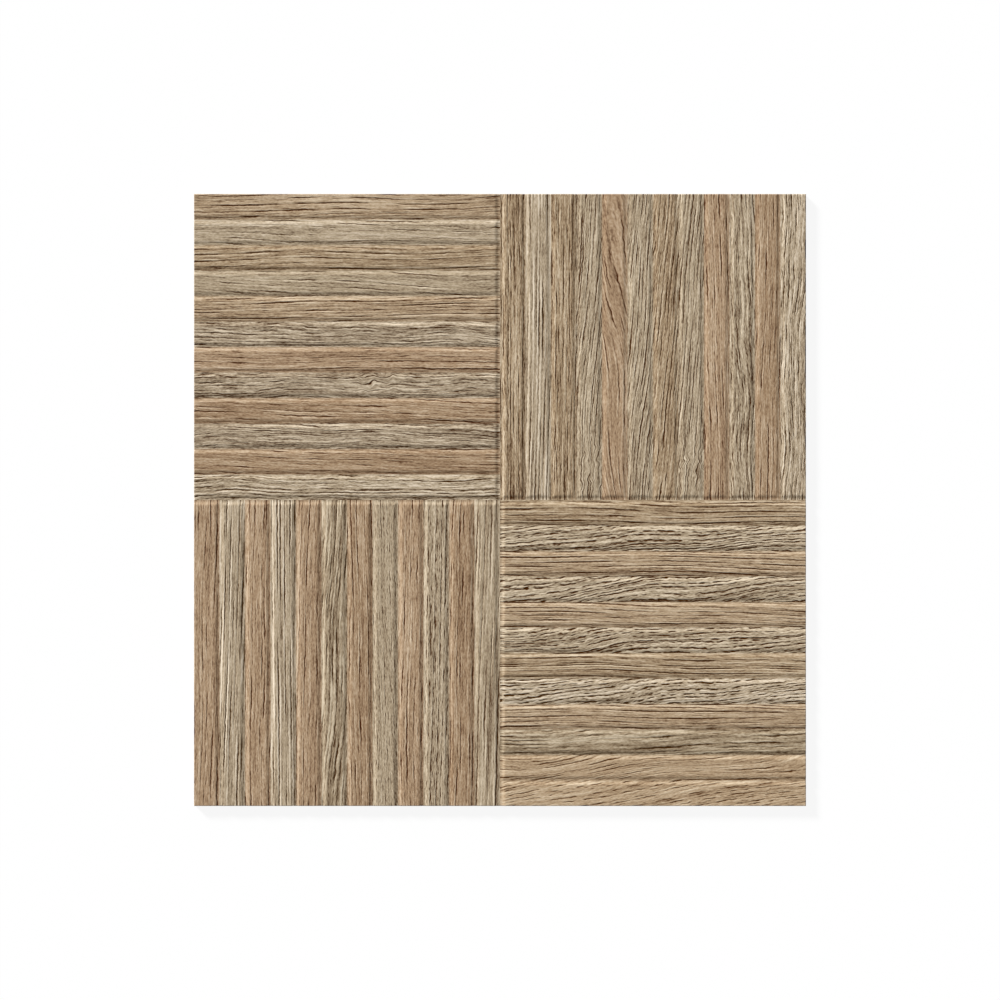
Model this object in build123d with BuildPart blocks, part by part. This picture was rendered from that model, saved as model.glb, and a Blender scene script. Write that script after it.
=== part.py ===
"""Floor tile: one pressed porcelain slab whose face imitates finger parquet.

The face is four square blocks of strips with eased edges, each block turned a quarter turn from the next.
The back is keyed with shallow drafted pockets between ribs, so that the tile grips its adhesive bed.

Frame: millimetres, +Z up, origin at the middle of the back, face upwards.
"""

from build123d import *

import os

# The slab
tile_side = 600.0  # work size, edge to edge, both ways
tile_thickness = 9.0  # from the back of the ribs to the tops of the strips
face_arris = 0.5  # ground chamfer round the face
back_arris = 1.0  # pressed chamfer round the back

# The parquet relief on the face
strips_per_block = 12
ease_width = 5.0  # how far a strip's eased edge reaches in from the joint's floor
joint_depth = 0.9  # how far a joint between strips lies below their tops
joint_floor = 0.4  # width of that joint's flat floor
cross_depth = 1.0  # the same two sizes for the cross between the blocks
cross_floor = 2.0

# The keyed back
pockets_per_side = 18
rim_width = 12.0  # flat margin between the tile's edge and the outer pockets
rib_width = 4.0  # between neighbouring pockets, at the back
pocket_depth = 0.7
pocket_draft = 30.0  # degrees, so that the tile leaves its die

# What follows from them
block_side = tile_side / 2
strip_width = block_side / strips_per_block
joint_places = [strip * strip_width for strip in range(1, strips_per_block)]
pocket_pitch = (tile_side - 2 * rim_width + rib_width) / pockets_per_side
pocket_side = pocket_pitch - rib_width


def eased_groove(depth, floor_width):
    """The section of a joint, whose sides round over from the face and run out into a flat floor."""
    half_floor = floor_width / 2
    brink = half_floor + ease_width
    with BuildSketch(mode=Mode.PRIVATE) as section:
        with BuildLine():
            shoulder = TangentArc((brink, 0), (brink - ease_width / 2, -depth / 2), tangent=(-1, 0))
            foot = TangentArc(shoulder @ 1, (half_floor, -depth), tangent=shoulder % 1)
            Polyline(foot @ 1, (0, -depth), (0, 0), shoulder @ 0)
        make_face()
        mirror(about=Plane.YZ)
    return section.sketch


# The joints between the strips of one block, which run along X from the tile's left edge to its middle
with BuildPart() as block_joints:
    with BuildSketch(Plane.YZ):
        with Locations(*[(place, tile_thickness) for place in joint_places]):
            add(eased_groove(joint_depth, joint_floor))
    extrude(amount=-block_side)

# The joint between two rows of blocks, right across the tile
with BuildPart() as cross_joint:
    with BuildSketch(Plane.YZ):
        with Locations((0, tile_thickness)):
            add(eased_groove(cross_depth, cross_floor))
    extrude(amount=block_side, both=True)

# One pocket of the back, drafted so that it narrows towards its floor
with BuildPart() as pocket:
    with BuildSketch(Plane.XY) as pocket_mouth:
        Rectangle(pocket_side, pocket_side)
    extrude(amount=pocket_depth, taper=pocket_draft)

# The tile: a slab with its arrises, its face cut by the four blocks' joints and by the cross between them,
# and its back cut by the pockets
with BuildPart() as floor_tile:
    Box(tile_side, tile_side, tile_thickness, align=(Align.CENTER, Align.CENTER, Align.MIN))
    chamfer(floor_tile.faces().sort_by(Axis.Z)[-1].edges(), face_arris)
    chamfer(floor_tile.faces().sort_by(Axis.Z)[0].edges(), back_arris)

    with PolarLocations(0, 4):
        add(block_joints.part, mode=Mode.SUBTRACT)
    with PolarLocations(0, 2, angular_range=180):
        add(cross_joint.part, mode=Mode.SUBTRACT)
    with GridLocations(pocket_pitch, pocket_pitch, pockets_per_side, pockets_per_side):
        add(pocket.part, mode=Mode.SUBTRACT)

floor_tile.part.label = "floor_tile"

os.makedirs("parts", exist_ok=True)
export_step(floor_tile.part, "parts/floor_tile.step")
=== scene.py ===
"""Looks of a porcelain floor tile whose face imitates oak finger parquet.

The tile is one piece. Its face is embossed and printed in register: one description of the oak's grain
drives both the relief of the mesh and the colours of the print.
"""

import logging
import math
from collections.abc import Callable
from dataclasses import dataclass, replace
from enum import Enum
from typing import ClassVar

import bmesh
import bpy
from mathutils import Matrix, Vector


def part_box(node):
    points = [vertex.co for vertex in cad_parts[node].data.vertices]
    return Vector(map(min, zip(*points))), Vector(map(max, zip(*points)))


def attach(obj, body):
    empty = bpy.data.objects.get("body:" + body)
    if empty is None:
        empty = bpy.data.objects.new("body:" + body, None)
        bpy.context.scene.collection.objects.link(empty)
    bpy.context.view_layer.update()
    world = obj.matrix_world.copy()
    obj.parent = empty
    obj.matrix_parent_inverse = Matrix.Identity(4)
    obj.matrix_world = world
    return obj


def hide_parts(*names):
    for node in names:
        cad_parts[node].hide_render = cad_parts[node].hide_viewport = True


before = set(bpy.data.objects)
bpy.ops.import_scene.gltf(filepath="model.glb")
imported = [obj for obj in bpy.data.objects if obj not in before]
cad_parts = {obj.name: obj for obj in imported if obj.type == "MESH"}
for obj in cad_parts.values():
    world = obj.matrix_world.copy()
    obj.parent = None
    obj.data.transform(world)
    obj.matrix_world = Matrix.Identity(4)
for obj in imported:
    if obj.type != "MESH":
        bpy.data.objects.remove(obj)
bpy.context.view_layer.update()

log = logging.getLogger("floor_tile")

MM = 0.001
MM_PER_M = 1000.0
TINY = 1e-6  # metres, for telling places apart
HALF = 0.5  # also the middle of noise and of random numbers, which go from 0 to 1
QUARTERS = 4  # blocks round the middle of the tile
QUARTER_TURN = math.radians(90.0)
FACE_UP = 0.3  # the least upward part of a normal that belongs to the tile's face

Colour = tuple[float, float, float, float]
Settings = dict[str, object]
Sockets = dict[str | int, object]

WHITE: Colour = (1.0, 1.0, 1.0, 1.0)


def paint(red: int, green: int, blue: int) -> Colour:
    """Turns a colour as seen on a screen into the linear light that shaders use.

    Args:
        red: Red, from 0 to 255.
        green: Green, from 0 to 255.
        blue: Blue, from 0 to 255.

    Returns:
        The linear colour, opaque.
    """
    top, knee, slope, lift, power = 255.0, 0.04045, 12.92, 0.055, 2.4

    def linear(level: int) -> float:
        """Undoes the screen's curve for one channel."""
        share = level / top
        return share / slope if share <= knee else ((share + lift) / (1.0 + lift)) ** power

    return (linear(red), linear(green), linear(blue), 1.0)


class Signal:
    """A socket that carries one number, so that node maths reads as Python."""

    def __init__(self, bench: "NodeBench", socket: bpy.types.NodeSocket) -> None:
        """Wraps a socket of the bench's tree."""
        self.bench = bench
        self.socket = socket

    def maths(self, operation: str, *operands: "Signal | float", clamp: bool = False) -> "Signal":
        """Adds one Math node.

        Args:
            operation: The Math node's operation.
            operands: What goes into its sockets, in order.
            clamp: Whether the result is held between 0 and 1.

        Returns:
            The node's result.
        """
        settings = {"operation": operation, "use_clamp": clamp}
        return self.bench.number("ShaderNodeMath", settings, dict(enumerate(operands)))

    def __add__(self, other: "Signal | float") -> "Signal":
        """Returns self + other."""
        return self.maths("ADD", self, other)

    __radd__ = __add__

    def __sub__(self, other: "Signal | float") -> "Signal":
        """Returns self - other."""
        return self.maths("SUBTRACT", self, other)

    def __rsub__(self, other: float) -> "Signal":
        """Returns other - self."""
        return self.maths("SUBTRACT", other, self)

    def __mul__(self, other: "Signal | float") -> "Signal":
        """Returns self * other."""
        return self.maths("MULTIPLY", self, other)

    __rmul__ = __mul__

    def __truediv__(self, other: "Signal | float") -> "Signal":
        """Returns self / other."""
        return self.maths("DIVIDE", self, other)

    def __lt__(self, other: "Signal | float") -> "Signal":
        """Returns 1 where self is less than other, else 0."""
        return self.maths("LESS_THAN", self, other)

    def __gt__(self, other: "Signal | float") -> "Signal":
        """Returns 1 where self is greater than other, else 0."""
        return self.maths("GREATER_THAN", self, other)

    def __abs__(self) -> "Signal":
        """Returns the size of self without its sign."""
        return self.maths("ABSOLUTE", self)

    def floor(self) -> "Signal":
        """Returns the whole number below self."""
        return self.maths("FLOOR", self)

    def sign(self) -> "Signal":
        """Returns 1 where self is above 0 and -1 where it is below."""
        return self.maths("SIGN", self)

    def least(self, other: "Signal | float") -> "Signal":
        """Returns the smaller of self and other."""
        return self.maths("MINIMUM", self, other)

    def most(self, other: "Signal | float") -> "Signal":
        """Returns the larger of self and other."""
        return self.maths("MAXIMUM", self, other)

    def held(self) -> "Signal":
        """Returns self held between 0 and 1."""
        return self.maths("ADD", self, 0.0, clamp=True)

    def rise(self, start: float, end: float) -> "Signal":
        """Returns a smooth step from 0 at start to 1 at end."""
        sockets = {"Value": self, "From Min": start, "From Max": end}
        return self.bench.number("ShaderNodeMapRange", {"interpolation_type": "SMOOTHERSTEP"}, sockets)


class NodeBench:
    """Places and links the nodes of one tree, of a material or of a modifier."""

    # Where a Mix node keeps its sockets for colours, whose names aren't unique
    MIX_SHARE: ClassVar[int] = 0
    MIX_FIRST: ClassVar[int] = 6
    MIX_SECOND: ClassVar[int] = 7
    MIX_RESULT: ClassVar[int] = 2

    def __init__(self, tree: bpy.types.NodeTree) -> None:
        """Starts with an empty tree."""
        self.tree = tree
        tree.nodes.clear()

    def node(self, kind: str, settings: Settings, sockets: Sockets) -> bpy.types.Node:
        """Adds one node.

        Args:
            kind: The node's type.
            settings: Its properties, which are set first.
            sockets: The value of each input, or the signal or socket that is linked to it.

        Returns:
            The new node.
        """
        node = self.tree.nodes.new(kind)
        for name, value in settings.items():
            setattr(node, name, value)
        for name, value in sockets.items():
            if isinstance(value, Signal):
                self.tree.links.new(value.socket, node.inputs[name])
            elif isinstance(value, bpy.types.NodeSocket):
                self.tree.links.new(value, node.inputs[name])
            else:
                node.inputs[name].default_value = value
        return node

    def number(self, kind: str, settings: Settings, sockets: Sockets) -> Signal:
        """Adds one node and returns its first output as a signal."""
        return Signal(self, self.node(kind, settings, sockets).outputs[0])

    def axes(self, vector: bpy.types.NodeSocket) -> tuple[Signal, Signal, Signal]:
        """Splits a vector into its three numbers."""
        parts = self.node("ShaderNodeSeparateXYZ", {}, {0: vector}).outputs
        return Signal(self, parts[0]), Signal(self, parts[1]), Signal(self, parts[2])

    def vector(self, *numbers: Signal | float) -> bpy.types.NodeSocket:
        """Joins up to three numbers into a vector."""
        return self.node("ShaderNodeCombineXYZ", {}, dict(enumerate(numbers))).outputs[0]

    def noise(self, first: Signal, second: Signal, detail: float = 0.0) -> Signal:
        """Returns smooth noise between 0 and 1 over two numbers, with features about 1 wide."""
        sockets = {"Vector": self.vector(first, second), "Scale": 1.0, "Detail": detail}
        return self.number("ShaderNodeTexNoise", {"noise_dimensions": "2D"}, sockets)

    def chance(self, first: Signal, second: Signal | float) -> Signal:
        """Returns a random number between 0 and 1 for each pair of whole numbers."""
        sockets = {"Vector": self.vector(first, second)}
        return self.number("ShaderNodeTexWhiteNoise", {"noise_dimensions": "2D"}, sockets)

    def mix(
        self,
        share: Signal | float,
        first: Colour | bpy.types.NodeSocket,
        second: Colour | bpy.types.NodeSocket,
    ) -> bpy.types.NodeSocket:
        """Mixes two colours: share is how much of the second there is, from 0 to 1."""
        sockets = {self.MIX_SHARE: share, self.MIX_FIRST: first, self.MIX_SECOND: second}
        return self.node("ShaderNodeMix", {"data_type": "RGBA"}, sockets).outputs[self.MIX_RESULT]

    def surface(self, sockets: Sockets, height: Signal) -> None:
        """Ends a material's tree with a bumped shader.

        Args:
            sockets: The shader's inputs, but for its normal.
            height: The height of the bump, in millimetres.
        """
        bump = self.node("ShaderNodeBump", {}, {"Height": height, "Distance": MM, "Strength": 1.0})
        shader = self.node("ShaderNodeBsdfPrincipled", {}, {**sockets, "Normal": bump.outputs[0]})
        self.node("ShaderNodeOutputMaterial", {}, {"Surface": shader.outputs[0]})


def new_material(name: str) -> tuple[bpy.types.Material, NodeBench]:
    """Makes a material without nodes.

    Args:
        name: What it is called.

    Returns:
        The material and the bench for its nodes.
    """
    material = bpy.data.materials.new(name)
    material.use_nodes = True
    return material, NodeBench(material.node_tree)


@dataclass(frozen=True)
class Parquet:
    """How the face is divided: four blocks of strips, each turned a quarter turn from the next.

    Every size is in millimetres.

    Attributes:
        tile_side: The tile's side.
        tile_thickness: The tile's thickness.
        strips_per_block: How many strips a block has.
        ease_width: How far a strip's eased edge reaches in from the joint's floor.
        joint_depth: How far a joint between strips lies below their tops.
        joint_floor: The width of that joint's floor.
        cross_depth: How far the cross between the blocks lies below them.
        cross_floor: The width of its floor.
        far_right_joint_light: How strongly painted shade and painted highlight mark the joints of the far
            right block. 1 is
        like the others, and below 0 the paint lightens their shaded side and darkens their lit side,
        evening out their shading.
    """

    tile_side: float
    tile_thickness: float
    strips_per_block: int = 12
    ease_width: float = 5.0
    joint_depth: float = 0.9
    joint_floor: float = 0.4
    cross_depth: float = 1.0
    cross_floor: float = 2.0
    far_right_joint_light: float = -0.5

    @property
    def strip_width(self) -> float:
        """The width of one strip, from joint to joint."""
        return self.tile_side / 2 / self.strips_per_block

    def locate(self, bench: NodeBench, position: bpy.types.NodeSocket) -> "StripPlace":
        """Finds the strip that a point lies on.

        Args:
            bench: The tree that needs the place.
            position: The point, in metres.

        Returns:
            The point's place on its strip.
        """
        x, y, z = (part * MM_PER_M for part in bench.axes(position))
        lies_along_x = x * y < 0.0
        along = y + (x - y) * lies_along_x
        across = x + (y - x) * lies_along_x
        strip = (across / self.strip_width).floor()
        last_joint = self.strips_per_block - 1.0
        joint = (across / self.strip_width + HALF).floor().least(last_joint).most(-last_joint)
        turned = lies_along_x * 2.0 - 1.0
        on_cross = abs(joint) < HALF
        floor_width = on_cross * (self.cross_floor - self.joint_floor) + self.joint_floor
        joint_depth = on_cross * (self.cross_depth - self.joint_depth) + self.joint_depth
        from_joint = self._off_floor(across - joint * self.strip_width, floor_width) * turned
        from_end = self._off_floor(along, self.cross_floor) * turned * -1.0
        strips_in_row = 2.0 * self.strips_per_block
        number = strip + (x > 0.0) * strips_in_row + (y > 0.0) * (2.0 * strips_in_row)
        # the far right block's joints carry painted shade and highlight at their own strength, below 0
        # lightening the shaded side
        faint = (x > 0.0) * (y > 0.0) * (1.0 - on_cross)
        joint_light_share = 1.0 - faint * (1.0 - self.far_right_joint_light)
        return StripPlace(bench, along, across, z, number, from_joint, from_end, joint_depth, joint_light_share)

    def _off_floor(self, off_middle: Signal, floor_width: Signal | float) -> Signal:
        """Returns the distance from a joint's floor, with the sign of the distance from its middle."""
        return (abs(off_middle) - floor_width * HALF).most(0.0) * off_middle.sign()

    def eased(self, place: "StripPlace") -> Signal:
        """Works out the relief of the joints.

        Args:
            place: Where on the strip.

        Returns:
            How far the face lies below the strips' tops.
        """
        at_joint = abs(place.from_joint).rise(self.ease_width, 0.0) * place.joint_depth
        at_end = abs(place.from_end).rise(self.ease_width, 0.0) * self.cross_depth
        return at_joint.most(at_end)


class Draw(Enum):
    """What each of a strip's random numbers is for."""

    BEND = 1.0
    SHAKE = 2.0
    RINGS = 3.0
    PORES = 4.0
    STREAKS = 5.0
    FIBRE = 6.0
    BAND = 7.0
    TONE = 8.0
    VEIN = 9.0
    LEAN = 10.0
    RAGGED = 11.0


@dataclass(frozen=True)
class StripPlace:
    """A point's place on its strip, as signals in millimetres.

    Attributes:
        bench: The tree that the signals belong to.
        along: Distance from the middle of the tile, along the strip.
        across: Distance from the middle of the tile, across the strip.
        height: Height above the tile's bed.
        strip: A whole number that no other strip has.
        from_joint: Distance from the floor of the nearest joint, less than 0 on the side that is lit.
        from_end: Distance from the floor of the joint at the strip's inner end, with the same signs.
        joint_depth: How far that nearest joint lies below the strips' tops.
        joint_light_share: How strongly painted shade and painted highlight mark that joint. Below 0 the
            paint evens out its shading.
    """

    bench: NodeBench
    along: Signal
    across: Signal
    height: Signal
    strip: Signal
    from_joint: Signal
    from_end: Signal
    joint_depth: Signal
    joint_light_share: Signal

    def luck(self, draw: Draw, further: float = 0.0) -> Signal:
        """Returns a random number between 0 and 1 that is the same all over a strip."""
        return self.bench.chance(self.strip, draw.value + further)


@dataclass(frozen=True)
class Smear:
    """Smooth noise drawn out along a strip. Sizes are in millimetres.

    Attributes:
        draw: Which of the strip's random numbers places it.
        length: About how long its patches are.
        width: About how wide they are.
        detail: How many finer layers it has.
        shift: How far the random number moves it, in patches.
    """

    draw: Draw
    length: float
    width: float
    detail: float
    shift: float = 50.0

    def over(self, place: StripPlace, across: Signal) -> Signal:
        """Returns the noise, between -0.5 and 0.5, for a distance across the strip."""
        along = place.along / self.length + place.luck(self.draw) * self.shift
        return place.bench.noise(along, across / self.width + place.strip, self.detail) - HALF


@dataclass(frozen=True)
class LineSet:
    """Rows of thin dashes that follow the growth rings of the oak. Sizes are in millimetres.

    Attributes:
        spacing: Distance between rows.
        half_width: From a dash's middle to its edge, where it is widest.
        dash: About how long a dash is.
        cover: Share of a row that is drawn, from 0 to 1.
        strength: How strongly the dashes show in the print.
        depth: How deep they are pressed.
    """

    spacing: float
    half_width: float
    dash: float
    cover: float
    strength: float
    depth: float

    ROW_RANGE: ClassVar[float] = 40.0  # how far the rows are moved at random, in rows
    ROW_JITTER: ClassVar[float] = 0.6  # how far one row strays, in rows
    RUN_RANGE: ClassVar[float] = 90.0  # how far the dashes are moved at random, in dashes
    RUN_DRAW: ClassVar[float] = 0.5  # what tells that random number from the rows' one
    RUN_STEP: ClassVar[float] = 7.31  # from one row's noise to the next
    BREAKS: ClassVar[float] = 1.0  # finer layers that break up the dashes
    SPREAD: ClassVar[float] = 0.22  # how softly a dash starts and ends
    FULL: ClassVar[float] = 1.15  # how far a dash's middle is filled
    # the raised lips are raised in the bump and also painted lighter, a painted highlight beside each dash
    LIP: ClassVar[float] = 0.3  # how strong the raised lips are
    LIP_PLACE: ClassVar[float] = 1.9  # from a dash's middle to its lips, in half widths
    LIP_WIDTH: ClassVar[float] = 0.9  # the lips' own half width, likewise

    def marks(self, place: StripPlace, flow: Signal, draw: Draw, widen: float = 1.0) -> Signal:
        """Draws the dashes.

        Args:
            place: Where on the strip.
            flow: Distance across the strip, bent as the grain runs.
            draw: Which of the strip's random numbers moves the rows.
            widen: How many times as wide the dashes are.

        Returns:
            Up to 1 in the middle of a dash, a little below 0 along its raised lips, and 0 elsewhere.
        """
        bench = place.bench
        rows = flow / self.spacing + place.luck(draw) * self.ROW_RANGE
        row = rows.floor()
        jitter = (bench.chance(row, place.strip) - HALF) * self.ROW_JITTER
        offset = abs(rows - row - HALF - jitter) * (self.spacing / self.half_width / widen)
        raised = 1.0 - abs(offset - self.LIP_PLACE) / self.LIP_WIDTH
        start = place.luck(draw, self.RUN_DRAW) * self.RUN_RANGE
        run = bench.noise(place.along / self.dash + start, row * self.RUN_STEP + place.strip, self.BREAKS)
        middle = HALF + (HALF - self.cover) * 2.0 * self.SPREAD
        drawn = run.rise(middle - self.SPREAD, middle + self.SPREAD)
        # below 0 along the raised lips, which raises them in the bump and paints them lighter as a painted
        # highlight
        return (drawn * self.FULL - offset).held() - raised.held() * drawn * self.LIP


@dataclass(frozen=True)
class Palette:
    """The three colours of one oak: the dark pores, which also colour the painted shade, the clear wood,
    and the pale streaks, which also colour the painted highlights.
    """

    pore_and_shade: Colour
    wood: Colour
    streak_and_highlight: Colour


@dataclass(frozen=True)
class Grain:
    """How the grain of one oak runs. Lengths are in millimetres.

    Attributes:
        rings: The main dark dashes, which are also pressed into the mesh.
        pores: Finer dark dashes between them.
        streaks: Pale dashes.
        fibre: How strongly the finest fibres show.
        vein: How strongly narrow veins show.
        band: How strongly wide bands show.
        lean: How far the grain leans over for each millimetre along the strip.
        wander: How far it bends aside.
        bend: How long such a bend is.
        shiver: How far it shakes from side to side in short waves.
        curl: How far it swirls where it curls.
        curl_at: Where that is, from the middle of the tile along the strip.
    """

    rings: LineSet
    pores: LineSet
    streaks: LineSet
    fibre: float
    vein: float
    band: float
    lean: float
    wander: float
    bend: float
    shiver: float = 1.4
    curl: float = 0.0
    curl_at: float = 0.0

    RANGE: ClassVar[float] = 70.0  # how far the bends are moved at random, in bends
    BEND_WIDTH: ClassVar[float] = 40.0
    SHAKE: ClassVar[Smear] = Smear(Draw.SHAKE, length=9.0, width=6.0, detail=1.0, shift=RANGE)
    LEAN_SPREAD: ClassVar[float] = 0.07
    CURL_REACH: ClassVar[float] = 45.0
    CURL_SIZE: ClassVar[float] = 12.0
    CURL_DETAIL: ClassVar[float] = 1.0

    def flow(self, place: StripPlace) -> Signal:
        """Bends the strip's width as the grain runs.

        Args:
            place: Where on the strip.

        Returns:
            The distance across the strip, which stays the same along a line of the grain.
        """
        bends = Smear(Draw.BEND, self.bend, self.BEND_WIDTH, detail=0.0, shift=self.RANGE)
        lean = (place.luck(Draw.LEAN) - HALF) * self.LEAN_SPREAD + self.lean
        flow = place.across - place.along * lean + bends.over(place, place.across) * (2.0 * self.wander)
        flow = flow + self.SHAKE.over(place, place.across) * self.shiver
        if not self.curl:
            return flow
        size = self.CURL_SIZE
        near = abs(abs(place.along) - self.curl_at).rise(self.CURL_REACH, 0.0)
        swirl = place.bench.noise(place.along / size, place.across / size + place.strip, self.CURL_DETAIL)
        return flow + near * (swirl - HALF) * (2.0 * self.curl)


@dataclass(frozen=True)
class PaintedJointLight:
    """Painted shade that darkens the side of a joint away from the key light, and a painted highlight that
    lightens its lit side, in millimetres.

    Attributes:
        shade: How dark the painted shade on the shaded side is.
        shade_full: From where to where the shade is full.
        shade_end: Where it ends.
        highlight: How light the painted highlight on the lit side is.
        highlight_full: From where to where the painted highlight is strongest.
        highlight_end: Where the painted highlight ends.
        ragged_length: About how long the tears of the ragged edges are.
        ragged_step: From one strip's tears to the next.
        ragged_detail: How many finer tears there are.
        ragged_range: How far the tears are moved at random, in tears.
        ragged_joint: How wide they are along a joint.
        ragged_end: How wide they are at a strip's end.
    """

    shade: float = 0.125
    shade_full: tuple[float, float] = (0.6, 1.4)
    shade_end: float = 4.0
    wear: float = 0.1
    highlight_full: tuple[float, float] = (0.8, 2.0)
    highlight_end: float = 4.6
    ragged_length: float = 14.0
    ragged_step: float = 3.7
    ragged_detail: float = 1.0
    ragged_range: float = 50.0
    ragged_joint: float = 3.0
    ragged_end: float = 1.5

    def tone(self, place: StripPlace) -> Signal:
        """Works out the painted shade and painted highlight beside the joints.

        Args:
            place: Where on the strip.

        Returns:
            The change of tone, less than 0 where it is darker.
        """
        along = place.along / self.ragged_length + place.luck(Draw.RAGGED) * self.ragged_range
        ragged = place.bench.noise(along, place.strip * self.ragged_step, self.ragged_detail) - HALF
        # painted shade and highlight at this joint, scaled for its block; below 0 they lighten the shaded
        # side
        at_joint = self._beside(place.from_joint + ragged * self.ragged_joint) * place.joint_light_share
        return at_joint + self._beside(place.from_end + ragged * self.ragged_end)

    def _beside(self, distance: Signal) -> Signal:
        """Works out the painted shade and painted highlight beside one joint.

        Args:
            distance: Distance from the joint's floor, less than 0 on the lit side.

        Returns:
            The change of tone.
        """
        first, last = self.shade_full
        shaded = distance.rise(0.0, first) * distance.rise(self.shade_end, last)
        first, last = self.highlight_full
        painted_highlight = distance.rise(0.0, -first) * distance.rise(-self.highlight_end, -last)
        return painted_highlight * self.wear - shaded * self.shade


@dataclass(frozen=True)
class OakPrint:
    """The print and relief of one kind of oak strip, under a matt glaze, with painted shade and painted
    highlights beside its joints.
    """

    name: str
    palette: Palette
    grain: Grain

    # painted shade and painted highlight beside the joints, as if lit from the far left
    PAINTED_JOINT_LIGHT: ClassVar[PaintedJointLight] = PaintedJointLight()
    FIBRE: ClassVar[Smear] = Smear(Draw.FIBRE, length=3.5, width=0.8, detail=1.0)
    VEIN: ClassVar[Smear] = Smear(Draw.VEIN, length=16.0, width=1.9, detail=2.0)
    BAND: ClassVar[Smear] = Smear(Draw.BAND, length=160.0, width=6.0, detail=1.0)
    TONE_SPREAD: ClassVar[float] = 0.03  # how much the strips of a kind differ
    STREAK_SHARE: ClassVar[float] = 0.5  # how far streaks lighten the tone
    INK_SHARE: ClassVar[float] = 0.53  # how far dashes darken it
    FIBRE_HEIGHT: ClassVar[float] = 0.1  # of the bump, in millimetres
    VEIN_HEIGHT: ClassVar[float] = 0.15
    ROUGHNESS: ClassVar[float] = 0.72
    INK_ROUGHNESS: ClassVar[float] = 0.2  # added where the print is darkest
    SPECULAR: ClassVar[float] = 0.08
    FADE: ClassVar[float] = 3.0  # where the pressed grain ends beside a joint, in millimetres
    RELIEF_WIDEN: ClassVar[float] = 1.6  # how much wider the pressed dashes are than the printed ones

    def material(self, parquet: Parquet) -> bpy.types.Material:
        """Makes the printed, glazed material.

        Args:
            parquet: How the face is divided into strips.

        Returns:
            The material.
        """
        material, bench = new_material(self.name)
        place = parquet.locate(bench, bench.node("ShaderNodeTexCoord", {}, {}).outputs["Object"])
        grain = self.grain
        flow = grain.flow(place)
        rings = grain.rings.marks(place, flow, Draw.RINGS)
        pores = grain.pores.marks(place, flow, Draw.PORES)
        streaks = grain.streaks.marks(place, flow, Draw.STREAKS)
        fibre = self.FIBRE.over(place, flow)
        vein = self.VEIN.over(place, flow)
        ink = rings * grain.rings.strength + pores * grain.pores.strength

        tone = HALF + self.BAND.over(place, flow) * grain.band + vein * grain.vein + fibre * grain.fibre
        tone = tone + (place.luck(Draw.TONE) - HALF) * self.TONE_SPREAD
        tone = tone + streaks * (grain.streaks.strength * self.STREAK_SHARE)
        # the joints get painted shade on their shaded side and a painted highlight on their lit side
        tone = tone + self.PAINTED_JOINT_LIGHT.tone(place) - ink * self.INK_SHARE
        # the pale colour gives the streaks and the painted highlights, and the pore colour gives the dark
        # dashes and the painted shade
        colour = bench.mix((tone * 2.0 - 1.0).held(), self.palette.wood, self.palette.streak_and_highlight)
        colour = bench.mix((1.0 - tone * 2.0).held(), colour, self.palette.pore_and_shade)

        height = streaks * grain.streaks.depth + fibre * self.FIBRE_HEIGHT + vein * self.VEIN_HEIGHT
        height = height - rings * grain.rings.depth - pores * grain.pores.depth
        roughness = ink.held() * self.INK_ROUGHNESS + self.ROUGHNESS
        sockets = {"Base Color": colour, "Roughness": roughness, "Specular IOR Level": self.SPECULAR}
        bench.surface(sockets, height)
        return material

    def emboss(self, parquet: Parquet, piece: bpy.types.Object, slot: int) -> None:
        """Presses the main dashes into the strips of this kind.

        Args:
            parquet: How the face is divided into strips.
            piece: The tile's face.
            slot: The material slot that marks those strips.
        """

        def sunk(place: StripPlace) -> Signal:
            """Works out how far the grain lies below the strip's top.

            Args:
                place: Where on the strip.

            Returns:
                The depth in millimetres.
            """
            rings = self.grain.rings
            marks = rings.marks(place, self.grain.flow(place), Draw.RINGS, self.RELIEF_WIDEN).most(0.0)
            clear = abs(place.from_joint).rise(0.0, self.FADE) * abs(place.from_end).rise(0.0, self.FADE)
            return marks * clear * rings.depth

        press(parquet, piece, f"{self.name}_relief", sunk, slot)


def press(
    parquet: Parquet,
    piece: bpy.types.Object,
    name: str,
    sunk: Callable[[StripPlace], Signal],
    slot: int | None = None,
) -> None:
    """Lowers the points of a face by a worked-out depth.

    Args:
        parquet: How the face is divided into strips.
        piece: The face.
        name: What the modifier is called.
        sunk: Gives the depth in millimetres at a place.
        slot: The material slot of the faces that are pressed, or None for all of them.
    """
    tree = bpy.data.node_groups.new(name, "GeometryNodeTree")
    tree.interface.new_socket("Geometry", in_out="INPUT", socket_type="NodeSocketGeometry")
    tree.interface.new_socket("Geometry", in_out="OUTPUT", socket_type="NodeSocketGeometry")
    bench = NodeBench(tree)
    face = bench.node("NodeGroupInput", {}, {}).outputs[0]
    place = parquet.locate(bench, bench.node("GeometryNodeInputPosition", {}, {}).outputs[0])
    sockets = {"Geometry": face, "Offset": bench.vector(0.0, 0.0, sunk(place) * -MM)}
    if slot is not None:
        found = bench.number("GeometryNodeInputMaterialIndex", {}, {})
        sockets["Selection"] = abs(found - slot) < HALF
    moved = bench.node("GeometryNodeSetPosition", {}, sockets)
    bench.node("NodeGroupOutput", {}, {0: moved.outputs[0]})
    modifier = piece.modifiers.new(name, "NODES")
    modifier.node_group = tree
    bpy.ops.object.modifier_apply(modifier=name)


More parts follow.
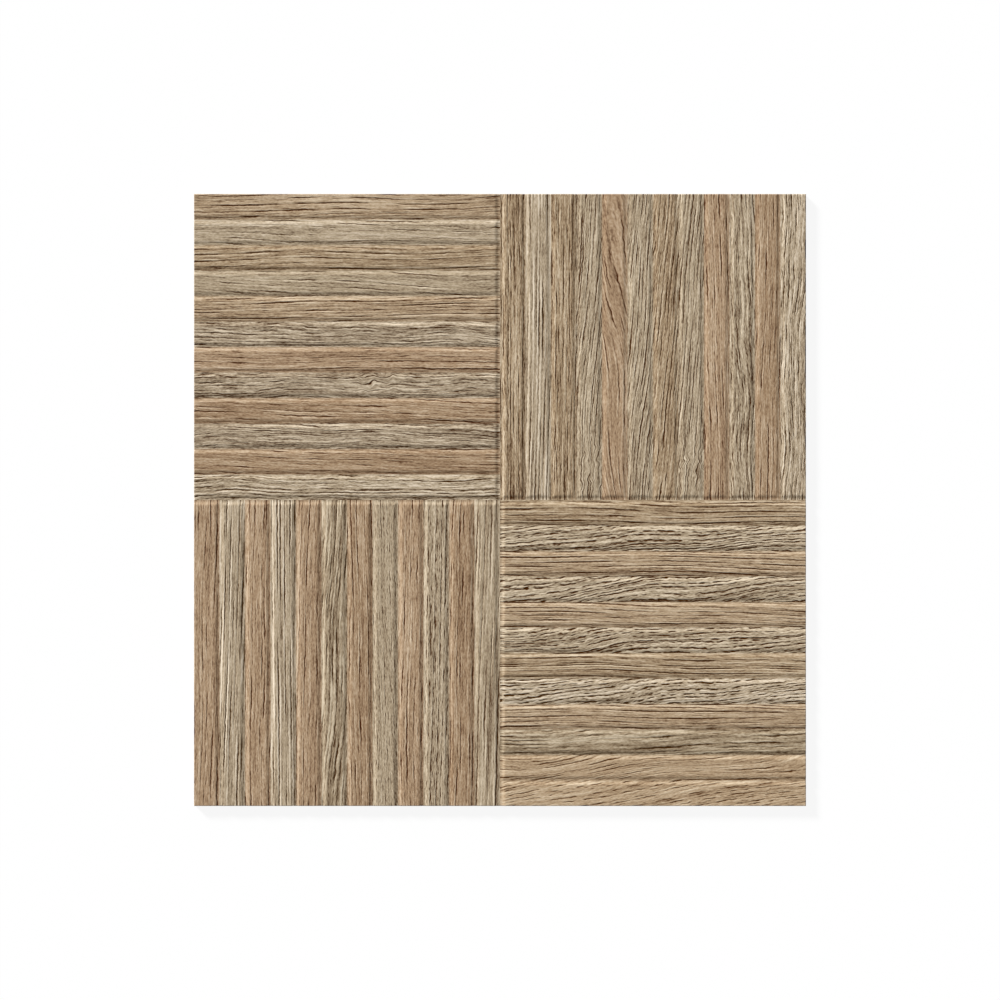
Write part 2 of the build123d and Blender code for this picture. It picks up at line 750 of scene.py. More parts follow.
@dataclass(frozen=True)
class FiredBody:
    """The bare fired clay of the edges and the back, with the glaze showing as a line along the top.

    Attributes:
        name: What the material is called.
        clay: The body's colour.
        grit: The colour of its coarse grains.
        wash: The colour of the release powder left by firing.
        engobe: The colour of the pale coat under the glaze.
        glaze: The colour of the glaze where it is cut.
        glaze_thickness: How thick the glaze is, in millimetres.
        engobe_thickness: How thick the pale coat is, in millimetres.
        line_waver: How far the glaze line wavers, in millimetres.
        grain_scale: How many coarse grains there are for each metre.
        grain_detail: How many finer layers they have.
        grain_height: How far they stand out, in millimetres.
        grit_cover: The noise from which grit shows, and where it is full.
        cloud_scale: How many clouds of powder there are for each metre.
        cloud_detail: How many finer layers they have.
        cloud_height: How far they stand out, in millimetres.
        cloud_wash: How strongly they show.
        dust_level: How high above the bed the ribs' dust ends, and where it is full, in millimetres.
        dust_cover: The noise from which that dust shows, and where it is full.
        dust_wash: How strongly it shows.
        roughness: How matt the body is.
        grain_roughness: How much more matt its grains are.
    """

    name: str = "fired_body"
    clay: Colour = paint(172, 158, 138)
    grit: Colour = paint(136, 121, 101)
    wash: Colour = paint(194, 187, 174)
    engobe: Colour = paint(191, 181, 164)
    glaze: Colour = paint(128, 105, 80)
    glaze_thickness: float = 0.95
    engobe_thickness: float = 0.4
    line_waver: float = 0.2
    grain_scale: float = 900.0
    grain_detail: float = 2.0
    grain_height: float = 0.06
    grit_cover: tuple[float, float] = (0.52, 0.72)
    cloud_scale: float = 45.0
    cloud_detail: float = 3.0
    cloud_height: float = 0.1
    cloud_wash: float = 0.3
    dust_level: tuple[float, float] = (0.12, 0.02)
    dust_cover: tuple[float, float] = (0.42, 0.62)
    dust_wash: float = 0.7
    roughness: float = 0.78
    grain_roughness: float = 0.1

    def material(self, parquet: Parquet) -> bpy.types.Material:
        """Makes the body's material.

        Args:
            parquet: How the face is divided, whose joints the glaze line follows.

        Returns:
            The material.
        """
        material, bench = new_material(self.name)
        position = bench.node("ShaderNodeTexCoord", {}, {}).outputs["Object"]
        place = parquet.locate(bench, position)
        sockets = {"Vector": position, "Scale": self.grain_scale, "Detail": self.grain_detail}
        grain = bench.number("ShaderNodeTexNoise", {}, sockets)
        sockets = {"Vector": position, "Scale": self.cloud_scale, "Detail": self.cloud_detail}
        cloud = bench.number("ShaderNodeTexNoise", {}, sockets)
        dusted = place.height.rise(*self.dust_level) * cloud.rise(*self.dust_cover)
        below_top = parquet.tile_thickness - parquet.eased(place) - place.height
        line = below_top + (cloud - HALF) * self.line_waver

        colour = bench.mix(grain.rise(*self.grit_cover), self.clay, self.grit)
        colour = bench.mix(cloud * self.cloud_wash, colour, self.wash)
        colour = bench.mix(dusted * self.dust_wash, colour, self.wash)
        colour = bench.mix(line < self.glaze_thickness + self.engobe_thickness, colour, self.engobe)
        colour = bench.mix(line < self.glaze_thickness, colour, self.glaze)
        height = grain * self.grain_height + cloud * self.cloud_height
        roughness = grain * self.grain_roughness + self.roughness
        bench.surface({"Base Color": colour, "Roughness": roughness}, height)
        return material


class Tone(Enum):
    """The colours that the print comes in."""

    BROWN = Palette(paint(68, 30, 0), paint(168, 141, 112), paint(215, 194, 167))
    TAN = Palette(paint(66, 32, 0), paint(170, 146, 117), paint(215, 196, 169))
    UMBER = Palette(paint(64, 32, 0), paint(163, 140, 111), paint(213, 195, 168))
    OLIVE = Palette(paint(62, 34, 0), paint(161, 142, 116), paint(211, 195, 169))
    GREY = Palette(paint(66, 34, 0), paint(170, 152, 126), paint(219, 203, 178))
    PALE = Palette(paint(66, 38, 2), paint(178, 160, 134), paint(224, 209, 187))
    RUST = Palette(paint(66, 28, 0), paint(160, 133, 104), paint(210, 189, 162))
    SLATE = Palette(paint(62, 32, 0), paint(162, 144, 120), paint(215, 199, 175))
    MOSS = Palette(paint(58, 32, 0), paint(152, 133, 107), paint(206, 190, 164))
    SAND = Palette(paint(76, 42, 4), paint(175, 150, 120), paint(215, 196, 168))


class Figure(Enum):
    """The ways that the grain runs."""

    LONG = Grain(
        rings=LineSet(spacing=4.8, half_width=0.7, dash=44.0, cover=0.58, strength=1.25, depth=0.24),
        pores=LineSet(spacing=2.3, half_width=0.48, dash=16.0, cover=0.45, strength=0.7, depth=0.1),
        streaks=LineSet(spacing=3.3, half_width=0.75, dash=40.0, cover=0.5, strength=0.65, depth=0.05),
        fibre=0.6, vein=0.7, band=0.45, lean=0.0, wander=3.5, bend=130.0, shiver=0.9,
    )
    CALM = Grain(
        rings=LineSet(spacing=6.0, half_width=0.66, dash=38.0, cover=0.47, strength=1.15, depth=0.2),
        pores=LineSet(spacing=2.2, half_width=0.47, dash=13.0, cover=0.45, strength=0.6, depth=0.08),
        streaks=LineSet(spacing=3.4, half_width=0.75, dash=34.0, cover=0.45, strength=0.5, depth=0.04),
        fibre=0.6, vein=0.6, band=0.45, lean=0.0, wander=3.0, bend=130.0,
    )
    ARCHED = Grain(
        rings=LineSet(spacing=5.0, half_width=0.6, dash=50.0, cover=0.5, strength=1.0, depth=0.2),
        pores=LineSet(spacing=2.4, half_width=0.45, dash=14.0, cover=0.42, strength=0.5, depth=0.08),
        streaks=LineSet(spacing=3.6, half_width=0.75, dash=36.0, cover=0.45, strength=0.5, depth=0.04),
        fibre=0.55, vein=0.5, band=0.45, lean=-0.12, wander=14.0, bend=160.0,
    )
    CLIMBING = Grain(
        rings=LineSet(spacing=5.0, half_width=0.68, dash=44.0, cover=0.46, strength=1.2, depth=0.22),
        pores=LineSet(spacing=2.4, half_width=0.48, dash=14.0, cover=0.43, strength=0.6, depth=0.1),
        streaks=LineSet(spacing=3.6, half_width=0.75, dash=36.0, cover=0.45, strength=0.6, depth=0.04),
        fibre=0.6, vein=0.65, band=0.5, lean=0.11, wander=12.0, bend=150.0,
    )
    SOFT = Grain(
        rings=LineSet(spacing=5.0, half_width=0.6, dash=44.0, cover=0.45, strength=0.9, depth=0.18),
        pores=LineSet(spacing=2.4, half_width=0.45, dash=14.0, cover=0.42, strength=0.5, depth=0.08),
        streaks=LineSet(spacing=3.5, half_width=0.8, dash=40.0, cover=0.45, strength=0.5, depth=0.04),
        fibre=0.6, vein=0.6, band=0.5, lean=-0.02, wander=5.0, bend=130.0,
    )
    ROUGH = Grain(
        rings=LineSet(spacing=3.6, half_width=0.65, dash=24.0, cover=0.5, strength=1.0, depth=0.22),
        pores=LineSet(spacing=2.1, half_width=0.5, dash=10.0, cover=0.45, strength=0.65, depth=0.12),
        streaks=LineSet(spacing=3.0, half_width=0.75, dash=24.0, cover=0.47, strength=0.92, depth=0.05),
        fibre=0.75, vein=0.85, band=0.7, lean=0.0, wander=4.0, bend=70.0,
    )
    WAVY = Grain(
        rings=LineSet(spacing=4.2, half_width=0.75, dash=36.0, cover=0.5, strength=0.95, depth=0.22),
        pores=LineSet(spacing=2.4, half_width=0.5, dash=14.0, cover=0.44, strength=0.65, depth=0.1),
        streaks=LineSet(spacing=4.0, half_width=0.95, dash=44.0, cover=0.5, strength=0.8, depth=0.05),
        fibre=0.65, vein=0.8, band=0.9, lean=0.05, wander=5.0, bend=110.0,
    )
    STREAKED = Grain(
        rings=LineSet(spacing=3.6, half_width=0.72, dash=34.0, cover=0.52, strength=1.1, depth=0.22),
        pores=LineSet(spacing=2.2, half_width=0.5, dash=14.0, cover=0.46, strength=0.65, depth=0.12),
        streaks=LineSet(spacing=3.2, half_width=0.75, dash=44.0, cover=0.46, strength=0.7, depth=0.05),
        fibre=0.7, vein=0.8, band=0.7, lean=0.02, wander=2.0, bend=160.0,
    )
    STRAIGHT = Grain(
        rings=LineSet(spacing=4.2, half_width=0.75, dash=90.0, cover=0.5, strength=1.15, depth=0.22),
        pores=LineSet(spacing=2.4, half_width=0.5, dash=34.0, cover=0.42, strength=0.55, depth=0.1),
        streaks=LineSet(spacing=3.6, half_width=0.9, dash=90.0, cover=0.48, strength=1.0, depth=0.05),
        fibre=0.55, vein=0.6, band=0.7, lean=0.0, wander=1.5, bend=200.0,
    )
    SLANTED = Grain(
        rings=LineSet(spacing=3.6, half_width=0.6, dash=44.0, cover=0.58, strength=1.1, depth=0.2),
        pores=LineSet(spacing=2.1, half_width=0.45, dash=20.0, cover=0.46, strength=0.7, depth=0.1),
        streaks=LineSet(spacing=3.0, half_width=0.7, dash=40.0, cover=0.48, strength=0.7, depth=0.05),
        fibre=0.7, vein=0.7, band=0.5, lean=0.09, wander=4.0, bend=120.0,
    )
    CURLED = replace(SLANTED, curl=4.4, curl_at=30.0)
    SWIRLED = replace(ROUGH, curl=3.4, curl_at=120.0)
    TICKED = Grain(
        rings=LineSet(spacing=3.6, half_width=0.65, dash=13.0, cover=0.52, strength=1.1, depth=0.22),
        pores=LineSet(spacing=2.2, half_width=0.5, dash=8.0, cover=0.47, strength=0.7, depth=0.12),
        streaks=LineSet(spacing=3.2, half_width=0.8, dash=20.0, cover=0.45, strength=0.6, depth=0.05),
        fibre=0.7, vein=0.6, band=0.5, lean=0.0, wander=1.2, bend=160.0,
    )
    FINE = Grain(
        rings=LineSet(spacing=3.0, half_width=0.5, dash=9.0, cover=0.45, strength=0.75, depth=0.16),
        pores=LineSet(spacing=1.9, half_width=0.45, dash=6.0, cover=0.42, strength=0.5, depth=0.1),
        streaks=LineSet(spacing=2.6, half_width=0.6, dash=9.0, cover=0.42, strength=0.4, depth=0.04),
        fibre=0.65, vein=0.45, band=0.4, lean=0.0, wander=2.0, bend=100.0,
    )
    FLECKED = Grain(
        rings=LineSet(spacing=4.0, half_width=0.72, dash=9.0, cover=0.6, strength=1.75, depth=0.3),
        pores=LineSet(spacing=2.6, half_width=0.55, dash=7.0, cover=0.46, strength=0.95, depth=0.16),
        streaks=LineSet(spacing=3.6, half_width=0.8, dash=14.0, cover=0.5, strength=1.1, depth=0.06),
        fibre=0.75, vein=0.75, band=0.8, lean=0.1, wander=6.0, bend=90.0, shiver=1.8,
    )
    SPECKLED = Grain(
        rings=LineSet(spacing=4.2, half_width=0.64, dash=13.0, cover=0.5, strength=1.05, depth=0.2),
        pores=LineSet(spacing=2.4, half_width=0.5, dash=8.0, cover=0.42, strength=0.55, depth=0.12),
        streaks=LineSet(spacing=3.4, half_width=0.75, dash=12.0, cover=0.45, strength=0.55, depth=0.05),
        fibre=0.6, vein=0.6, band=0.8, lean=0.15, wander=5.0, bend=120.0,
    )


class Stave(Enum):
    """The kinds of oak that the strips imitate, each a colour with a grain."""

    LONG_TAN = (Tone.TAN, Figure.LONG)
    LONG_UMBER = (Tone.UMBER, Figure.LONG)
    CALM_BROWN = (Tone.BROWN, Figure.CALM)
    CALM_RUST = (Tone.RUST, Figure.CALM)
    ARCHED_BROWN = (Tone.BROWN, Figure.ARCHED)
    CLIMBING_SAND = (Tone.SAND, Figure.CLIMBING)
    SPECKLED_SAND = (Tone.SAND, Figure.SPECKLED)
    STREAKED_UMBER = (Tone.UMBER, Figure.STREAKED)
    SLANTED_UMBER = (Tone.UMBER, Figure.SLANTED)
    WAVY_OLIVE = (Tone.OLIVE, Figure.WAVY)
    WAVY_MOSS = (Tone.MOSS, Figure.WAVY)
    SOFT_GREY = (Tone.GREY, Figure.SOFT)
    ROUGH_GREY = (Tone.GREY, Figure.ROUGH)
    ROUGH_SLATE = (Tone.SLATE, Figure.ROUGH)
    SWIRLED_SLATE = (Tone.SLATE, Figure.SWIRLED)
    CURLED_GREY = (Tone.GREY, Figure.CURLED)
    SLANTED_GREY = (Tone.GREY, Figure.SLANTED)
    TICKED_GREY = (Tone.GREY, Figure.TICKED)
    FINE_GREY = (Tone.GREY, Figure.FINE)
    FLECKED_GREY = (Tone.GREY, Figure.FLECKED)
    STRAIGHT_GREY = (Tone.GREY, Figure.STRAIGHT)
    FLECKED_PALE = (Tone.PALE, Figure.FLECKED)
    SOFT_PALE = (Tone.PALE, Figure.SOFT)
    ROUGH_PALE = (Tone.PALE, Figure.ROUGH)
    STRAIGHT_PALE = (Tone.PALE, Figure.STRAIGHT)

    @property
    def finish(self) -> OakPrint:
        """The print of this kind."""
        tone, figure = self.value
        return OakPrint(f"{self.name.lower()}_oak", tone.value, figure.value)


class Block(Enum):
    """The four blocks, with the kinds of their strips from the far or the left end."""

    FAR_LEFT = (
        Stave.LONG_TAN, Stave.SOFT_PALE, Stave.LONG_UMBER, Stave.SOFT_GREY,
        Stave.LONG_TAN, Stave.ROUGH_SLATE, Stave.CALM_BROWN, Stave.SWIRLED_SLATE,
        Stave.CALM_RUST, Stave.ROUGH_SLATE, Stave.CALM_RUST, Stave.ROUGH_PALE,
    )
    FAR_RIGHT = (
        Stave.STREAKED_UMBER, Stave.STRAIGHT_PALE, Stave.STREAKED_UMBER, Stave.CURLED_GREY,
        Stave.ARCHED_BROWN, Stave.SLANTED_GREY, Stave.SLANTED_UMBER, Stave.CURLED_GREY,
        Stave.CALM_BROWN, Stave.ROUGH_GREY, Stave.CALM_RUST, Stave.ROUGH_PALE,
    )
    NEAR_LEFT = (
        Stave.CALM_BROWN, Stave.STRAIGHT_PALE, Stave.CALM_BROWN, Stave.STRAIGHT_PALE,
        Stave.CALM_BROWN, Stave.WAVY_OLIVE, Stave.CALM_RUST, Stave.FINE_GREY,
        Stave.CALM_BROWN, Stave.TICKED_GREY, Stave.CALM_RUST, Stave.STRAIGHT_GREY,
    )
    NEAR_RIGHT = (
        Stave.LONG_UMBER, Stave.FLECKED_GREY, Stave.LONG_TAN, Stave.FLECKED_GREY,
        Stave.LONG_TAN, Stave.FLECKED_GREY, Stave.LONG_UMBER, Stave.FLECKED_PALE,
        Stave.LONG_TAN, Stave.WAVY_MOSS, Stave.CLIMBING_SAND, Stave.SPECKLED_SAND,
    )


class Pick(Enum):
    """What an operator acts on."""

    POINTS = "VERT"
    EDGES = "EDGE"
    FACES = "FACE"


class Worktop:
    """Edit mode on one piece, where what the next operator acts on is picked by its place."""

    def __init__(self, piece: bpy.types.Object) -> None:
        """Takes the piece that is worked on."""
        self.piece = piece

    def __enter__(self) -> "Worktop":
        """Opens edit mode.

        Returns:
            The worktop itself.
        """
        lay_out(self.piece)
        bpy.ops.object.mode_set(mode="EDIT")
        return self

    def __exit__(self, *stopped: object) -> None:
        """Goes back to object mode."""
        bpy.ops.object.mode_set(mode="OBJECT")

    def pick(self, kind: Pick, wanted: Callable[[Vector], bool], rim_only: bool = False) -> None:
        """Picks parts of the mesh.

        Args:
            kind: Whether points, edges or faces are picked.
            wanted: Tells of a point whether it is in the right place. All points of a part have to be.
            rim_only: Whether only edges with a face on one side are picked.
        """
        bpy.ops.mesh.select_mode(type=kind.value)
        bpy.ops.mesh.select_all(action="DESELECT")
        mesh = bmesh.from_edit_mesh(self.piece.data)
        if kind is Pick.POINTS:
            for point in mesh.verts:
                point.select = wanted(point.co)
        else:
            for part in mesh.edges if kind is Pick.EDGES else mesh.faces:
                found = all(wanted(point.co) for point in part.verts)
                part.select = found and (not rim_only or part.is_boundary)
        mesh.select_flush_mode()
        bmesh.update_edit_mesh(self.piece.data)

    def shift(self, x: float = 0.0, y: float = 0.0, z: float = 0.0) -> None:
        """Moves what is picked."""
        bpy.ops.transform.translate(value=(x, y, z))

    def swell(self, x: float, y: float, z: float, height: float = 0.0) -> None:
        """Scales what is picked about the tile's axis, at this height."""
        bpy.ops.transform.resize(value=(x, y, z), center_override=(0.0, 0.0, height))

    def extrude(self, x: float = 0.0, y: float = 0.0, z: float = 0.0) -> None:
        """Extrudes what is picked and moves the new part."""
        bpy.ops.mesh.extrude_region_move(TRANSFORM_OT_translate={"value": (x, y, z)})


def lay_out(*pieces: bpy.types.Object) -> None:
    """Selects these pieces alone.

    Args:
        pieces: The pieces, of which the first becomes the active one.
    """
    bpy.ops.object.select_all(action="DESELECT")
    for piece in pieces:
        piece.select_set(True)
    bpy.context.view_layer.objects.active = pieces[0]


@dataclass(frozen=True)
class BakeSheet:
    """The layout of the tile on the sheet that its colours are baked to. Sizes of the tile are in metres.

    Attributes:
        side: The tile's side.
        thickness: The tile's thickness.
        edge: Where the face's square starts, as a share of the sheet.
        face: The side of that square.
        spare: Where the back and the edges start.
        strip: The width of each edge.
        gap: From one edge to the next.
        back: The height of the back, which is squeezed.
    """

    side: float
    thickness: float
    edge: float = 0.002
    face: float = 0.93
    spare: float = 0.938
    strip: float = 0.0125
    gap: float = 0.003
    back: float = 0.06

    LAYER: ClassVar[str] = "OFBake"

    def spot(self, place: Vector, normal: Vector) -> tuple[float, float]:
        """Finds where a corner of a face goes.

        Args:
            place: The corner.
            normal: The way its face looks.

        Returns:
            The place on the sheet, from 0 to 1 both ways.
        """
        across, up = place.x / self.side + HALF, place.y / self.side + HALF
        if normal.z > FACE_UP:
            return self.edge + across * self.face, self.edge + up * self.face
        if normal.z < -FACE_UP:
            return self.edge + across * self.face, self.spare + up * self.back
        # The edges stand side by side: right, left, far and near
        sideways = abs(normal.x) > abs(normal.y)
        outward, run = (normal.x, up) if sideways else (normal.y, across)
        number = (0 if sideways else 2) + (0 if outward > 0.0 else 1)
        start = self.spare + number * (self.strip + self.gap)
        return start + place.z / self.thickness * self.strip, self.edge + run * self.face


@dataclass
class ParquetTile:
    """The whole tile: the embossed face, its edges and the keyed back. Sizes are in metres.

    Attributes:
        side: The tile's side.
        thickness: The tile's thickness.
        face_arris: The chamfer round the face.
        back_arris: The chamfer round the back.
        pockets_per_side: How many pockets the back has each way.
        rim_width: From the tile's edge to the outer pockets.
        rib_width: Between two pockets.
        pocket_depth: How deep a pocket is.
        pocket_draft: How far its sides lean.
        cells_across_strip: How finely the mesh divides a strip's width.
        cells_along_strip: How finely it divides the length, but for the inner end.
        cells_along_end: How finely it divides that end.
        end_run: How long that end is.
        seam: From a block to the middle of the gap beside it, before the gap is closed.
        seam_reach: How near that middle the points of the gap lie.
        crease: The angle from which an edge looks sharp.
    """

    side: float
    thickness: float
    face_arris: float = 0.5 * MM
    back_arris: float = 1.0 * MM
    pockets_per_side: int = 18
    rim_width: float = 12.0 * MM
    rib_width: float = 4.0 * MM
    pocket_depth: float = 0.7 * MM
    pocket_draft: float = math.radians(30.0)
    cells_across_strip: int = 36
    cells_along_strip: int = 40
    cells_along_end: int = 8
    end_run: float = 6.0 * MM
    seam: float = 0.1 * MM
    seam_reach: float = 0.15 * MM
    crease: float = math.radians(25.0)

    def __post_init__(self) -> None:
        """Works out the layout of the strips."""
        self.half = self.side / 2
        self.parquet = Parquet(self.side * MM_PER_M, self.thickness * MM_PER_M)

    def build(self) -> bpy.types.Object:
        """Models the tile.

        Returns:
            The finished piece, dressed.
        """
        tile = self._lay_blocks()
        self._stitch(tile)
        self._dress(tile)
        self._emboss(tile)
        self._edge(tile)
        self._back(tile)
        self._finish(tile)
        self._map(tile)
        return tile

    def _block(self) -> bpy.types.Object:
        """Models the far left block as a flat grid, finer across its strips than along them.

        Returns:
            The block.
        """
        length = self.half - self.end_run
        bpy.ops.mesh.primitive_grid_add(
            x_subdivisions=self.cells_along_strip,
            y_subdivisions=self.cells_across_strip * self.parquet.strips_per_block,
            size=1.0,
            location=(-self.end_run - length / 2, self.half / 2, self.thickness),
        )
        block = bpy.context.object
        block.scale = (length, self.half, 1.0)
        bpy.ops.object.transform_apply(location=True, rotation=True, scale=True)
        with Worktop(block) as top:
            top.pick(Pick.EDGES, lambda at: at.x > -self.end_run - TINY)
            step = (self.end_run - self.seam) / self.cells_along_end
            for _ in range(self.cells_along_end):
                top.extrude(x=step)
            top.pick(Pick.POINTS, lambda at: at.x < -self.half + TINY)
            top.shift(x=self.face_arris)
            top.pick(Pick.POINTS, lambda at: at.y > self.half - TINY)
            top.shift(y=-self.face_arris)
            top.pick(Pick.POINTS, lambda at: at.y < TINY)
            top.shift(y=self.seam)
        return block

    def _lay_blocks(self) -> bpy.types.Object:
        """Copies the block round the tile's middle by quarter turns and joins the four.

        Returns:
            The face, with open seams between its blocks.
        """
        bpy.ops.object.select_all(action="DESELECT")
        blocks = [self._block()]
        for _ in range(QUARTERS - 1):
            lay_out(blocks[-1])
            bpy.ops.object.duplicate()
            blocks.append(bpy.context.object)
            bpy.ops.transform.rotate(value=QUARTER_TURN, orient_axis="Z", center_override=(0.0, 0.0, 0.0))
            bpy.ops.object.transform_apply(location=True, rotation=True, scale=True)
        lay_out(*blocks)
        bpy.ops.object.join()
        tile = blocks[0]
        tile.name = tile.data.name = "parquet_tile"
        return tile

    def _stitch(self, tile: bpy.types.Object) -> None:
        """Closes the seams between the blocks.

        Args:
            tile: The face.
        """
        reach = self.seam_reach
        arms: list[Callable[[Vector], bool]] = [
            lambda at: abs(at.x) < reach and at.y > 0.0,
            lambda at: abs(at.x) < reach and at.y < 0.0,
            lambda at: abs(at.y) < reach and at.x > 0.0,
            lambda at: abs(at.y) < reach and at.x < 0.0,
        ]
        with Worktop(tile) as top:
            for arm in arms:
                top.pick(Pick.EDGES, arm, rim_only=True)
                bpy.ops.mesh.bridge_edge_loops()
            top.pick(Pick.EDGES, lambda at: max(abs(at.x), abs(at.y)) < reach, rim_only=True)
            bpy.ops.mesh.edge_face_add()

    def _dress(self, tile: bpy.types.Object) -> None:
        """Gives every strip its own kind of oak.

        Args:
            tile: The face.
        """
        kinds = list(Stave)
        for kind in kinds:
            tile.data.materials.append(kind.finish.material(self.parquet))
        tile.data.materials.append(FiredBody().material(self.parquet))
        width = self.parquet.strip_width * MM
        last = self.parquet.strips_per_block - 1
        for face in tile.data.polygons:
            x, y, _ = face.center
            if x * y < 0.0:
                block, from_end = (Block.FAR_LEFT, self.half - y) if y > 0.0 else (Block.NEAR_RIGHT, -y)
            else:
                block, from_end = (Block.FAR_RIGHT, x) if x > 0.0 else (Block.NEAR_LEFT, x + self.half)
            strip = min(max(int(from_end / width), 0), last)
            face.material_index = kinds.index(block.value[strip])

    def _emboss(self, tile: bpy.types.Object) -> None:
        """Presses the eased joints and the grain into the face.

        Args:
            tile: The face.
        """
        lay_out(tile)
        press(self.parquet, tile, "eased_joints", self.parquet.eased)
        for slot, kind in enumerate(Stave):
            kind.finish.emboss(self.parquet, tile, slot)

    def _edge(self, tile: bpy.types.Object) -> None:
        """Draws the edges down from the face, with an arris at each end.

        Args:
            tile: The face.
        """
        with Worktop(tile) as top:
            top.pick(Pick.EDGES, lambda at: True, rim_only=True)
            top.extrude(z=-self.face_arris)
            out = self.half / (self.half - self.face_arris)
            top.swell(out, out, 1.0)
            top.extrude()
            top.swell(1.0, 1.0, 0.0, self.back_arris)
            top.extrude(z=-self.back_arris)
            inward = (self.half - self.back_arris) / self.half
            top.swell(inward, inward, 1.0)

    def _back(self, tile: bpy.types.Object) -> None:
        """Adds the keyed back, with a drafted pocket in each cell of a grid.

        Args:
            tile: The face with its edges.
        """
        pocketed = self.side - 2 * self.rim_width + self.rib_width
        cells = self.pockets_per_side
        bpy.ops.object.select_all(action="DESELECT")
        bpy.ops.mesh.primitive_grid_add(x_subdivisions=cells, y_subdivisions=cells, size=pocketed)
        back = bpy.context.object
        draft_run = self.pocket_depth * math.tan(self.pocket_draft)
        with Worktop(back) as top:
            top.pick(Pick.FACES, lambda at: True)
            bpy.ops.mesh.flip_normals()
            bpy.ops.mesh.inset(thickness=self.rib_width / 2, use_individual=True)
            bpy.ops.mesh.inset(thickness=draft_run, depth=-self.pocket_depth, use_individual=True)
        lay_out(tile, back)
        bpy.ops.object.join()
        with Worktop(tile) as top:
            top.pick(Pick.EDGES, lambda at: True, rim_only=True)
            bpy.ops.mesh.fill(use_beauty=True)
            top.pick(Pick.FACES, lambda at: True)
            bpy.ops.mesh.normals_make_consistent(inside=False)

    def _finish(self, tile: bpy.types.Object) -> None:
        """Bares the body below the face and shades the tile.

        Args:
            tile: The closed tile.
        """
        body_slot = len(Stave)
        for face in tile.data.polygons:
            if face.normal.z < FACE_UP:
                face.material_index = body_slot
        lay_out(tile)
        bpy.ops.object.shade_smooth_by_angle(angle=self.crease)

    def _map(self, tile: bpy.types.Object) -> None:
        """Maps the tile for baking: most of the sheet for the face, the rest for the back and the edges.

        Args:
            tile: The finished tile.
        """
        sheet = BakeSheet(self.side, self.thickness)
        layer = tile.data.uv_layers.new(name=sheet.LAYER)
        for face in tile.data.polygons:
            for corner in face.loop_indices:
                place = tile.data.vertices[tile.data.loops[corner].vertex_index].co
                layer.data[corner].uv = sheet.spot(place, face.normal)


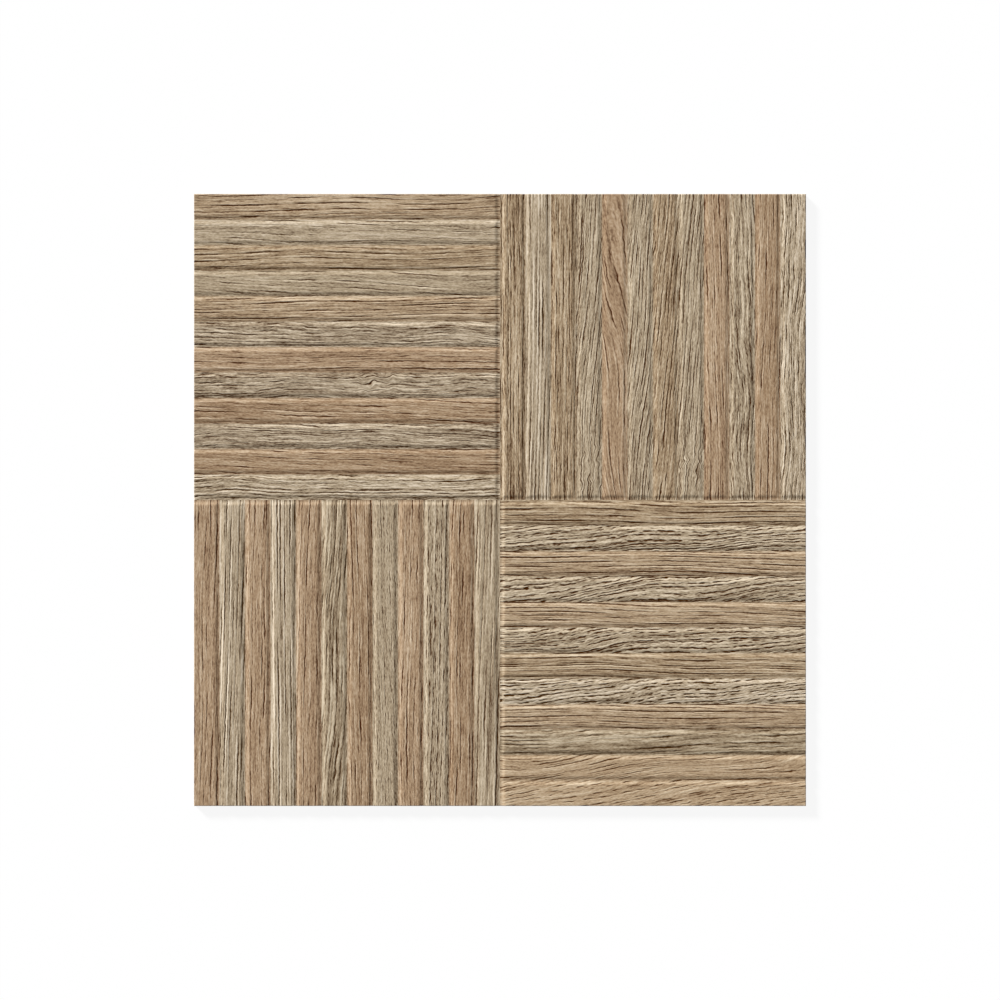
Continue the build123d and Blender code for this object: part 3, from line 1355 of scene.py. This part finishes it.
@dataclass
class Studio:
    """A white floor, a soft key from the far left, even fill and a camera straight above.

    Attributes:
        key_elevation: How high the key stands.
        key_share: Its share of the light on the face.
        key_softness: The angle that it fills.
        key_distance: How far off it hangs, in metres.
        floor_side: The floor's side, in metres.
        floor_gap: How far it lies below the tile, in metres.
        floor_colour: Its colour.
        shadow_share: How much of a shadow it keeps.
        lens: The camera's focal length, in millimetres.
        sensor: The width of its sensor, in millimetres.
        frame_px: The picture's side.
        tile_px: The tile's side in the picture.
    """

    key_elevation: float = math.radians(25.0)
    key_share: float = 0.76
    key_softness: float = math.radians(12.0)
    key_distance: float = 3.0
    floor_side: float = 8.0
    floor_gap: float = 0.1 * MM
    floor_colour: Colour = paint(254, 254, 254)
    shadow_share: float = 0.1
    lens: float = 135.0
    sensor: float = 36.0
    frame_px: float = 1000.0
    tile_px: float = 612.0

    def build(self, tile: ParquetTile) -> None:
        """Sets the stage.

        Args:
            tile: The tile, which gives the camera its distance.
        """
        self._floor()
        self._light()
        self._camera(tile)
        bpy.context.scene.view_settings.view_transform = "Standard"

    def _seen(self, bench: NodeBench) -> Signal:
        """Tells which rays come from the eye, straight or by way of gloss or glass.

        Args:
            bench: The tree that needs to know.

        Returns:
            1 for those rays, and 0 for the others.
        """
        rays = bench.node("ShaderNodeLightPath", {}, {}).outputs
        names = ("Is Camera Ray", "Is Glossy Ray", "Is Transmission Ray")
        camera, gloss, glass = (Signal(bench, rays[name]) for name in names)
        return camera.most(gloss).most(glass)

    def _floor(self) -> None:
        """Lays a white floor that keeps a faint shadow."""
        bpy.ops.object.select_all(action="DESELECT")
        bpy.ops.mesh.primitive_plane_add(size=self.floor_side, location=(0.0, 0.0, -self.floor_gap))
        floor = bpy.context.object
        floor.name = "floor"
        material, bench = new_material("white_floor")
        matt = bench.node("ShaderNodeBsdfDiffuse", {}, {"Color": self.floor_colour})
        glow = bench.node("ShaderNodeEmission", {}, {"Color": WHITE, "Strength": 1.0})
        share = self._seen(bench) * (1.0 - self.shadow_share)
        mixed = bench.node("ShaderNodeMixShader", {}, {0: share, 1: matt.outputs[0], 2: glow.outputs[0]})
        bench.node("ShaderNodeOutputMaterial", {}, {"Surface": mixed.outputs[0]})
        floor.data.materials.append(material)

    def _light(self) -> None:
        """Hangs the key and fills the room, so that together they show colours as they are written."""
        aim = Vector((-math.cos(self.key_elevation), math.cos(self.key_elevation), 0.0)) / math.sqrt(2.0)
        aim.z = math.sin(self.key_elevation)
        bpy.ops.object.light_add(type="SUN", location=aim * self.key_distance)
        key = bpy.context.object
        key.name = "key"
        key.rotation_euler = aim.to_track_quat("Z", "Y").to_euler()
        key.data.energy = math.pi * self.key_share / math.sin(self.key_elevation)
        key.data.angle = self.key_softness
        world = bpy.data.worlds.new("room")
        world.use_nodes = True
        bench = NodeBench(world.node_tree)
        fill = 1.0 - self.key_share
        strength = fill + self._seen(bench) * (1.0 - fill)
        sky = bench.node("ShaderNodeBackground", {}, {"Color": WHITE, "Strength": strength})
        bench.node("ShaderNodeOutputWorld", {}, {"Surface": sky.outputs[0]})
        bpy.context.scene.world = world

    def _camera(self, tile: ParquetTile) -> None:
        """Hangs the camera straight above the tile.

        Args:
            tile: The tile, which fills a set share of the picture.
        """
        field_side = tile.side * self.frame_px / self.tile_px
        distance = field_side * self.lens / self.sensor
        bpy.ops.object.camera_add(location=(0.0, 0.0, tile.thickness + distance), rotation=(0.0, 0.0, 0.0))
        camera = bpy.context.object
        camera.name = "camera"
        camera.data.lens = self.lens
        camera.data.sensor_width = self.sensor
        bpy.context.scene.camera = camera


def main() -> None:
    """Builds the tile and the studio round it."""
    logging.basicConfig(level=logging.INFO, format="%(name)s: %(message)s")
    node = "floor_tile"
    low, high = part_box(node)
    maker = ParquetTile(side=high[0] - low[0], thickness=high[2] - low[2])
    tile = maker.build()
    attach(tile, "root")
    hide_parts(node)
    triangles = sum(len(face.vertices) - 2 for face in tile.data.polygons)
    log.info("%s rides on root: %d triangles", tile.name, triangles)
    Studio().build(maker)
    log.info("studio set, camera at %.3f m", bpy.context.scene.camera.location.z)


if __name__ == "__main__":
    main()
